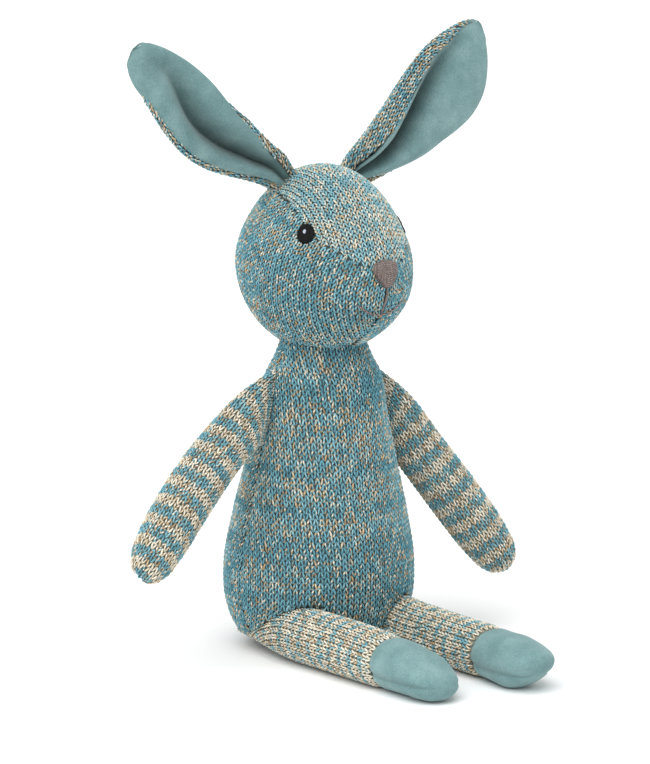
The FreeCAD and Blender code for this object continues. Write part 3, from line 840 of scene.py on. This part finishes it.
EAR_ROOT = {side: np.array([19.5 * sign, -1.0, 210.5]) * MM for side, sign in SIDES.items()}
EAR_TIP = {"left": np.array([89.5, -2.6, 281.5]) * MM, "right": np.array([-98.6, -2.6, 274.4]) * MM}
EAR_OUTLINE = {                     # share of the length, then in mm: half width, outward bow, knit seen
                                    # inside and outside of the velour, place of the valley
    "left": [
        (-0.07, 6.5, -0.5, 5.0, 4.0, 0.0), (0.00, 7.6, -0.5, 6.0, 4.0, 0.0),
        (0.065, 9.8, 0.2, 7.0, 2.6, 2.0), (0.14, 11.8, 1.8, 8.6, 0.8, 4.5),
        (0.25, 14.6, 4.1, 8.8, -0.8, 7.0), (0.365, 17.4, 6.2, 8.2, -1.3, 6.5),
        (0.465, 19.2, 7.4, 7.4, -1.3, 4.5), (0.57, 21.0, 8.9, 6.4, -1.3, 2.5),
        (0.66, 21.6, 10.0, 5.4, -1.3, 1.0), (0.73, 20.8, 10.5, 4.6, -1.3, 0.5),
        (0.79, 19.2, 10.6, 4.0, -1.3, 0.5), (0.84, 17.0, 10.3, 3.4, -1.3, 1.0),
        (0.885, 14.4, 9.5, 2.7, -1.3, 2.0), (0.925, 11.4, 8.5, 1.9, -1.3, 4.0),
        (0.96, 8.0, 7.4, 1.0, -1.2, 6.0), (0.988, 4.4, 6.3, 0.0, -1.0, 6.0),
        (1.00, 0.9, 5.6, -0.5, -0.5, 5.6)],
    "right": [
        (-0.07, 6.2, -2.0, 3.0, 3.0, -2.0), (0.00, 6.6, -1.6, 3.4, 3.0, -2.6),
        (0.10, 8.0, -1.0, 3.2, 2.6, -2.4), (0.19, 9.4, 1.6, 2.4, 2.0, 0.5),
        (0.275, 11.4, 3.5, 2.0, 1.8, 3.0), (0.365, 13.4, 5.0, 1.6, 2.0, 5.5),
        (0.435, 14.2, 5.9, 1.0, 2.0, 6.5), (0.525, 14.6, 6.1, -0.8, 1.9, 6.5),
        (0.60, 14.6, 5.4, -1.4, 1.8, 5.0), (0.665, 14.2, 4.6, -1.4, 1.6, 2.5),
        (0.73, 13.4, 3.9, -1.4, 1.3, 0.0), (0.79, 12.2, 3.4, -1.4, 0.8, -1.5),
        (0.85, 10.6, 3.0, -1.4, -0.6, -1.5), (0.905, 8.8, 2.9, -1.3, -1.2, 0.0),
        (0.955, 6.3, 2.8, -1.2, -1.2, 2.0), (0.988, 3.4, 2.8, -1.0, -1.0, 2.6),
        (1.00, 0.9, 2.7, -0.5, -0.5, 2.7)],
}
EAR_RELIEF = [                      # share of the length, then in mm: depth of the back, height of the
                                    # lobes, depth and half width of the valley, lift of the inner rim
    (-0.07, 4.6, 3.0, 3.0, 1.4, 1.0), (0.00, 4.6, 3.2, 4.0, 1.6, 2.0), (0.06, 4.8, 4.2, 6.0, 1.8, 4.0),
    (0.13, 5.2, 5.4, 8.5, 2.4, 6.0), (0.24, 5.6, 6.2, 10.0, 3.4, 7.0), (0.35, 5.8, 6.4, 10.4, 4.4, 6.8),
    (0.50, 5.6, 6.2, 9.6, 5.0, 5.2), (0.66, 4.8, 5.2, 7.0, 5.0, 3.4), (0.80, 3.6, 3.8, 3.5, 4.6, 1.8),
    (0.90, 2.6, 2.6, 1.0, 4.2, 0.8), (0.96, 1.8, 1.8, 0.0, 4.0, 0.3), (0.99, 1.1, 1.0, 0.0, 3.0, 0.0),
    (1.00, 0.5, 0.5, 0.0, 2.0, 0.0),
]
EAR_STRIP = 1.0 * MM                # how far the knit rolls forward over the rim
EAR_SET_BACK = 3.0 * MM             # the rims lie this far behind the line from root to tip
ear_outline_at = {side: curve(EAR_OUTLINE[side]) for side in SIDES}
ear_relief_at = curve(EAR_RELIEF)


EAR_VALUES = ("half", "bow", "inner", "outer", "valley_at", "deep", "crest", "valley", "valley_half",
              "lift")


def ear_values(side, t):
    """The columns of the outline and the relief at t for one ear, by name and in metres."""
    return dict(zip(EAR_VALUES, np.concatenate([ear_outline_at[side](t), ear_relief_at(t)]) * MM))


def ear_axes(side):
    root, tip = EAR_ROOT[side], EAR_TIP[side]
    along = unit(tip - root)
    facing = unit(FRONT - along * (FRONT @ along))
    across = np.cross(along, facing) * SIDES[side]
    return root, tip, facing, across


def ear_place(side, t, x, height):
    """The point x outwards from the ear's middle line and height in front of its rims."""
    root, tip, facing, across = ear_axes(side)
    bow = ear_values(side, t)["bow"]
    return (root + (tip - root) * t[..., None] + across * (x + bow)[..., None]
            + facing * (height - EAR_SET_BACK)[..., None])


def ear_back(side):
    def form(a, t):
        """a runs from the inner rim at -1 round the back to the outer rim at 1, and on to the front."""
        a, t = np.broadcast_arrays(np.asarray(a, float), t)
        ear = ear_values(side, t)
        turn = a * math.pi / 2
        height = np.where(np.abs(a) < 1, -ear["deep"], -EAR_STRIP) * np.cos(turn)
        height = height + ear["lift"] * np.where(a < 0, np.clip(-a, 0, 1) ** 2, 0)
        return ear_place(side, t, ear["half"] * np.sin(turn), height)
    return form


def valley_share(x, ear):
    """How deep in the valley a place x across the ear is, from 0 to 1."""
    return np.exp(-(np.abs(x - (ear["valley_at"] - ear["bow"])) / ear["valley_half"]) ** 1.5)


def velour_across(u, ear):
    """The place across the ear for u from -1 at the velour's inner edge to 1 at its outer edge."""
    low, high = ear["inner"] - ear["half"], ear["half"] - ear["outer"]
    return (low + high) / 2 + u * (high - low) / 2


def ear_front(side):
    def form(u, t):
        """u runs over the velour from its inner edge at -1 to its outer edge at 1."""
        u, t = np.broadcast_arrays(np.asarray(u, float), t)
        ear = ear_values(side, t)
        x = velour_across(u, ear)
        dome = np.sqrt(np.clip(1 - np.abs(u) ** 3, 0, 1))
        height = (ear["crest"] * dome - 0.6 * MM - ear["valley"] * valley_share(x, ear)
                  + ear["lift"] * np.clip(-u, 0, 1) ** 2)
        return ear_place(side, t, x, np.maximum(height, 1.4 * MM - ear["deep"]))
    return form


# ---------------- torso

BODY_WALE, BODY_COURSE = 2.78 * MM, 2.58 * MM
torso = {}
for number, (word, middle, sign) in enumerate((("front", 0.0, -1.0), ("back", math.pi, 1.0))):
    chart = Chart(torso_form, (middle - 1.75, middle + 1.75), (TORSO_START, TORSO_END), middle)

    def side_seam(p, a, t):
        return sign * p[..., 1]
    torso[word] = knit(f"torso_{word}_cloth", chart, side_seam, BODY_WALE, BODY_COURSE,
                       marl(0.19, 0.17, 0.31), 1 + number, 0.5 * MM, reshape=over_legs)

# ---------------- head


def cheek_edge(side):
    def edge(p, a, t):
        return np.minimum(-gusset_edge(p), np.maximum(p[..., 0] * SIDES[side], -1))
    return edge


HEAD_SEAM = (0.5 * MM, 0.6 * MM)    # depth and width
gusset_chart = Chart(gusset_form, (-0.86, 0.86), (math.radians(-5), math.radians(185)))
# The crown strip's marl is paler than the cheeks', with more cream and a paler teal: painted light on the
# top of the head, which faces the lamp.
gusset = knit("head_gusset_cloth", gusset_chart, lambda p, a, t: gusset_edge(p), 2.7 * MM, 2.2 * MM,
              marl(0.46, 0.05, 0.54, 0.7), 3, *HEAD_SEAM, apex=-1.0, splay=1.5)
cheeks = {}
for number, side in enumerate(SIDES):
    chart = Chart(cheek_form(side), (-1.9, 1.9), (-1.5, 1.5))
    cheeks[side] = knit(f"head_side_{side}_cloth", chart, cheek_edge(side), 2.75 * MM, 2.2 * MM,
                        marl(0.21, 0.18, 0.34), 4 + number, *HEAD_SEAM)

# ---------------- arms and legs


def closing_edge(a):
    """Distance from the line where a limb's chart meets itself, so that no stitch crosses it."""
    return (math.pi - np.abs(a)) * 10 * MM


arms, shins = {}, {}
for number, side in enumerate(SIDES):
    chart = Chart(arm_form(side), (-math.pi, math.pi), (0.0, 1.0))
    arms[side] = knit(f"arm_{side}_cloth", chart, lambda p, a, t: closing_edge(a), 2.6 * MM, 2.5 * MM,
                      striped(4, 2, number), 6 + number, 0.8 * MM, ground=GAP_SHADE_PALE)
    end = CAP_START[side]
    knee = (HIP_BACK + end) / (HIP_BACK + TOE_FRONT[side])
    chart = Chart(leg_form(side), (-math.pi, math.pi), (0.0, knee + 0.004))

    def shin_edge(p, a, t):
        return np.minimum(closing_edge(a), end + p[..., 1])
    shins[side] = knit(f"leg_{side}_cloth", chart, shin_edge, 2.8 * MM, 2.3 * MM,
                       striped(3, 2, 0, 0.26, 0.44), 8 + number, 0.9 * MM, ground=GAP_SHADE_CREAM,
                       splay=1.3)

# ---------------- velour feet

SOLE_TOP = 0.62 * LEG_RADIUS        # level of the seam between upper and sole
FOOT_ROWS, FOOT_COLUMNS = 120, 120
feet = {}
for side in SIDES:
    form = leg_form(side, 0.15 * MM)
    reach = HIP_BACK + TOE_FRONT[side]
    start = (HIP_BACK + CAP_START[side]) / reach
    f = np.linspace(0, 1, FOOT_ROWS)
    t = start + (1 - start) * (1 - (1 - f) ** 2)
    _, tall, level = leg_at[side](t)
    meet = np.arccos(np.clip((SOLE_TOP - level * LEG_RADIUS) / (tall * LEG_RADIUS), -0.8, 0.5))
    span = np.linspace(-1, 1, FOOT_COLUMNS)
    seam = np.minimum((1 - np.abs(span))[None, :] * 12 * MM, 1)
    mouth = ((t - start) * reach)[:, None]
    blunt = np.clip((1 - t) / 0.05, 0, 1)[:, None]      # the seams fade out at the toe
    sink = 0.9 * MM * blunt * bell(seam, 1.3 * MM) + 1.0 * MM * bell(mouth, 1.5 * MM)
    # tone paints the velour darker along the seam grooves and at the cuff where the knit ends: painted
    # shade in these recesses.
    tone = 1 - 0.22 * blunt * bell(seam, 1.0 * MM) - 0.25 * bell(mouth, 1.2 * MM)
    for word, a in (("upper", meet[:, None] * span), ("sole", math.pi + (math.pi - meet)[:, None] * span)):
        p = form(a, t[:, None])
        middle = np.stack(np.broadcast_arrays(toe_in(side, t[:, None]), p[..., 1],
                                              level[:, None] * LEG_RADIUS), -1)
        lumps = (noise(p, 9 * MM) - 0.5) * 0.7 * MM + (noise(p + 0.1, 3 * MM) - 0.5) * 0.16 * MM
        p = p + unit(p - middle) * (lumps - sink)[..., None]
        p[..., 2] = np.maximum(p[..., 2], 0.15 * MM)
        feet[side, word] = sheet_mesh(f"foot_{side}_{word}_velour", p, VELOUR, tone=tone, flip=True)

# ---------------- ears

ears = {}
for number, side in enumerate(SIDES):
    facing = ear_axes(side)[2]
    chart = Chart(ear_back(side), (-1.75, 1.75), (-0.07, 0.998), facing=-facing)

    def ear_edge(p, a, t):
        ear = ear_values(side, t)
        velour_starts = np.where(a < 0, ear["inner"], ear["outer"])
        tucked = ear["half"] * (np.abs(np.sin(a * math.pi / 2)) - 1) + velour_starts + 1.2 * MM
        return np.minimum(np.where(np.abs(a) > 1, tucked, 5 * MM), (0.99 - t) * 95 * MM)
    ears[side, "back"] = knit(f"ear_{side}_knit", chart, ear_edge, 2.6 * MM, 2.4 * MM,
                              marl(0.30, 0.30, 0.30), 10 + number, 0.3 * MM, 1.0 * MM)
    f = np.linspace(0, 1, 60)[1:]
    t = np.concatenate([np.linspace(-0.06, 0.85, 160), 1 - 0.15 * (1 - f) ** 2])[:, None]
    u = np.sin(np.linspace(-1, 1, 161) * math.pi / 2)[None, :]
    p = ear_front(side)(u, t)
    plain = np.clip((1 - np.abs(u)) / 0.25, 0, 1)       # no folds at the rims
    folds = (noise(p, 11 * MM) - 0.5) * 1.2 * MM + (noise(p + 1, 4 * MM) - 0.5) * 0.25 * MM
    p = p + facing * (folds * plain)[..., None]
    ear = ear_values(side, t + 0 * u)
    # The lining is painted darker down its valley: painted shade in the fold, laid over the valley's real
    # depth.
    shade = ear["valley"] / (9 * MM) * valley_share(velour_across(u, ear), ear)
    ears[side, "lining"] = sheet_mesh(f"ear_{side}_velour", p, VELOUR, tone=1 - 0.68 * shade)

# ---------------- face


def on_head(point, lift):
    """The place above the head's surface in the direction of a point given from its centre, and the
    way outward there."""
    point = np.asarray(point, float)
    outward = unit(point / HEAD_SIZE ** 2)
    return head_surface(point / HEAD_SIZE) + outward * np.asarray(lift)[..., None], outward


def satin(name, centre, outline, pitch, radius, material, dome, seed, slant=0.0, lift=0.6 * MM):
    """Parallel threads that fill an outline: outline(x) gives the lower and upper ends of the thread
    at x, and outline(None) the outline's two ends across. dome is how far the middle stands up."""
    outward = unit(centre / HEAD_SIZE ** 2)
    right = unit(np.cross(UP, outward))
    top = np.cross(outward, right)
    left_end, right_end = outline(None)
    places = np.arange(left_end + pitch / 2, right_end, pitch)
    f = np.linspace(0, 1, 15)
    lines, normals = [], []
    rng = np.random.default_rng(seed)
    for x in places:
        low, high = outline(x)
        y = low + (high - low) * f
        jitter = rng.normal(0, 0.04 * MM)
        target = centre + np.outer(x + slant * (y - (low + high) / 2) + jitter, right) + np.outer(y, top)
        reach = 1 - (x / max(abs(left_end), abs(right_end))) ** 2
        arch = dome * np.sqrt(np.clip(reach, 0.05, 1)) * np.sqrt(np.clip(1 - (2 * f - 1) ** 4, 0, 1))
        p, n = on_head(target, lift * (1 - np.abs(2 * f - 1) ** 8) + arch)
        lines.append(p)
        normals.append(n)
    return tube(name, lines, radius, material, np.array(normals), 0.8, seed)


def oval(half_wide, half_tall, shift=(0.0, 0.0)):
    def ends(x):
        if x is None:
            return shift[0] - half_wide, shift[0] + half_wide
        tall = half_tall * math.sqrt(max(1 - ((x - shift[0]) / half_wide) ** 2, 0.02))
        return shift[1] - tall, shift[1] + tall
    return ends


def nose_outline(x):
    """A rounded triangle, broad at the top."""
    half = 6.4 * MM
    if x is None:
        return -half, half
    f = min(abs(x) / half, 1)
    return -6.6 * MM * (1 - f ** 1.7) ** 0.9 + 0.8 * MM * f, 5.6 * MM * (1 - 0.36 * f ** 3)


features = []                       # piece, CAD node, material slot
for number, (side, eye) in enumerate(EYES.items()):
    iris = satin(f"eye_{side}_satin", eye, oval(3.9 * MM, 4.5 * MM), 0.42 * MM, 0.34 * MM,
                 THREAD_BLACK, 0.9 * MM, 20 + number)
    shine = satin(f"eye_{side}_shine", eye, oval(0.65 * MM, 1.05 * MM, (-0.35 * MM, 0.8 * MM)),
                  0.34 * MM, 0.27 * MM, THREAD_PALE, 0.0, 22 + number, lift=1.75 * MM)
    features += [(iris, f"eye_{side}", "thread_black"), (shine, f"eye_{side}_glint", "thread_white")]
NOSE = np.array([0.0, -42.5, -0.4]) * MM
nose = satin("nose_satin", NOSE, nose_outline, 0.50 * MM, 0.37 * MM, THREAD_TAUPE, 2.4 * MM, 24,
             slant=0.10)
features.append((nose, "nose", "thread_taupe"))


def thread_path(places):
    """A thread laid on the muzzle through places given across and up from the head's centre, in mm."""
    places = np.array(places, float)
    at = curve(np.column_stack([np.linspace(0, 1, len(places)), places]))
    x, z = at(np.linspace(0, 1, 40)) * MM
    y = -HEAD_FRONT * np.sqrt(np.maximum(1 - (x / HEAD_SIDE) ** 2 - (z / HEAD_HALF) ** 2, 0.05))
    return on_head(np.column_stack([x, y, z]), np.full(len(x), 0.75 * MM))


SMILE = [(-12.4, -13.4), (-9.5, -15.2), (-5.5, -17.4), (0.0, -18.4), (5.5, -17.4), (9.5, -15.2),
         (12.2, -13.4)]
DROP = [(0.0, -6.6), (0.25, -10.0), (-0.1, -14.0), (0.0, -18.3)]
mouth_lines, mouth_normals = zip(*(thread_path(p) for p in (SMILE, DROP)))
mouth = tube("mouth_thread", mouth_lines, 0.5 * MM, THREAD_TAUPE, np.array(mouth_normals), 0.75, 25)
features.append((mouth, "mouth", "thread_taupe"))

# ---------------- filling


def core(name, form, across, along, inset, material, lump=0.5 * MM, reshape=None):
    """A lumpy body of filling just under a skin. It is open at its two ends, under the skin."""
    t = np.linspace(*along, 60)[:, None]
    a = np.linspace(*across, 96, endpoint=False)[None, :]
    p = form(a, t)
    if reshape is not None:
        p = reshape(p)
    middle = p.mean(1, keepdims=True)
    p = p - unit(p - middle) * (inset + noise(p, 6 * MM) * lump)[..., None]
    return sheet_mesh(name, p, material, close=True)


ROUND = (0, 2 * math.pi)
LOW_TO_HIGH = (-1.56, 1.56)         # just short of the poles


def head_form(a, t):
    """a turns from the front towards the left side, t runs from below to the top."""
    return head_surface(np.stack([np.cos(t) * np.sin(a), -np.cos(t) * np.cos(a), np.sin(t) + 0 * a], -1))


def pouch_form(a, t):
    """The pouch: a cushion with a raised seam round it and bumps from its pellets."""
    q = np.stack([np.cos(t) * np.cos(a), np.cos(t) * np.sin(a), np.sin(t) + 0 * a], -1)
    pellets = 0.35 * MM * np.abs(np.sin(q[..., 0] * 14) * np.sin(q[..., 1] * 22))
    rim = 1 + 0.05 * bell(q[..., 2], 0.06)
    low, high = (np.array(corner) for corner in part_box("seat_pellet_pouch"))
    return (low + high) / 2 + q * ((high - low) / 2 - 0.6 * MM + pellets[..., None]) * rim[..., None]


torso_filling = core("torso_filling", torso_form, ROUND, (TORSO_START, TORSO_END), 2.2 * MM, FIBRE,
                     reshape=over_legs)
head_filling = core("head_filling", head_form, ROUND, LOW_TO_HIGH, 2.2 * MM, FIBRE)
cores = [(torso_filling, "torso_stuffing", "torso"), (head_filling, "head_stuffing", "head")]
for side in SIDES:
    for limb, form, start in (("arm", arm_form(side), 0.13), ("leg", leg_form(side), 0.12)):
        filling = core(f"{limb}_{side}_filling", form, (-math.pi, math.pi), (start, 0.985), 1.9 * MM, FIBRE)
        cores.append((filling, f"{limb}_{side}_stuffing", f"{limb}_{side}"))
pouch = core("pellet_pouch_cloth", pouch_form, ROUND, LOW_TO_HIGH, 0.1 * MM, POUCH, 0.2 * MM)
cores.append((pouch, "seat_pellet_pouch", "torso"))

# ---------------- the CAD parts hidden; the head, face, feet and filling pieces ride on the CAD bodies


def dress(piece, node, slot):
    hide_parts(node)


for word, piece in torso.items():
    dress(piece, f"torso_{word}_panel", "knit_marl")
    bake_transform(piece)
for piece, node in ((gusset, "head_gusset"), (cheeks["left"], "head_side_left"),
                    (cheeks["right"], "head_side_right")):
    dress(piece, node, "knit_marl")
    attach(piece, "head")
for side in SIDES:
    reach, seam = arm_axes(side)[:2]
    outward = unit(np.cross(np.cross(seam, reach), seam))
    dress(arms[side], f"arm_{side}_sleeve", "knit_striped")
    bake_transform(arms[side])
    dress(shins[side], f"leg_{side}_sleeve", "knit_dashed")
    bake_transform(shins[side])
    for word in ("upper", "sole"):
        dress(feet[side, word], f"foot_{side}_{word}", "velour")
        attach(feet[side, word], f"leg_{side}")
    dress(ears[side, "back"], f"ear_{side}_back", "knit_marl")
    dress(ears[side, "lining"], f"ear_{side}_lining", "velour")
    for word in ("back", "lining"):
        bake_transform(ears[side, word])
for piece, node, slot in features:
    dress(piece, node, slot)
    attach(piece, "head")
for piece, node, body in cores:
    dress(piece, node, "pouch_cloth" if node == "seat_pellet_pouch" else "fibre_fill")
    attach(piece, body)

# ---------------- floor, light, camera

floor_white = Nodes("floor_white", roughness=0.9, specular=0.2)
floor_white.colour((0.97, 0.97, 0.97, 1.0))
floor_points = np.array([(-6, -6, 0), (6, -6, 0), (6, 6, 0), (-6, 6, 0)], float)
floor = make_mesh("floor", floor_points, [np.array([[0, 1, 2, 3]])],
                  materials=(floor_white.material,))

world = bpy.data.worlds.new("studio")
world.use_nodes = True
world.node_tree.nodes["Background"].inputs["Color"].default_value = (1.0, 1.0, 1.0, 1.0)
world.node_tree.nodes["Background"].inputs["Strength"].default_value = 0.76
bpy.context.scene.world = world
bpy.context.scene.view_settings.view_transform = "Standard"


def aim_at(obj, place, aim):
    obj.location = place
    obj.rotation_euler = (Vector(aim) - Vector(place)).to_track_quat("-Z", "Y").to_euler()


sun = bpy.data.lights.new("key", "SUN")
sun.energy = 2.2
sun.angle = math.radians(60)
key = bpy.data.objects.new("key", sun)
bpy.context.scene.collection.objects.link(key)
aim_at(key, (-0.70, -0.35, 1.2), (0, 0, 0))

VIEW_TURN = math.radians(-38)
CAMERA_AWAY, CAMERA_HEIGHT = 1.4, 0.355
right = np.array([math.cos(VIEW_TURN), math.sin(VIEW_TURN), 0.0])
aim = right * 2.74 * MM + UP * 119.8 * MM           # the middle of the picture
place = np.array([aim[0] + CAMERA_AWAY * math.sin(VIEW_TURN), aim[1] - CAMERA_AWAY * math.cos(VIEW_TURN),
                  CAMERA_HEIGHT])
camera_data = bpy.data.cameras.new("camera")
camera_data.sensor_fit = "VERTICAL"
camera_data.sensor_height = 36.0
camera_data.lens = 148.65
camera_data.clip_start = 0.01
camera = bpy.data.objects.new("camera", camera_data)
bpy.context.scene.collection.objects.link(camera)
aim_at(camera, tuple(place), tuple(aim))
bpy.context.scene.camera = camera
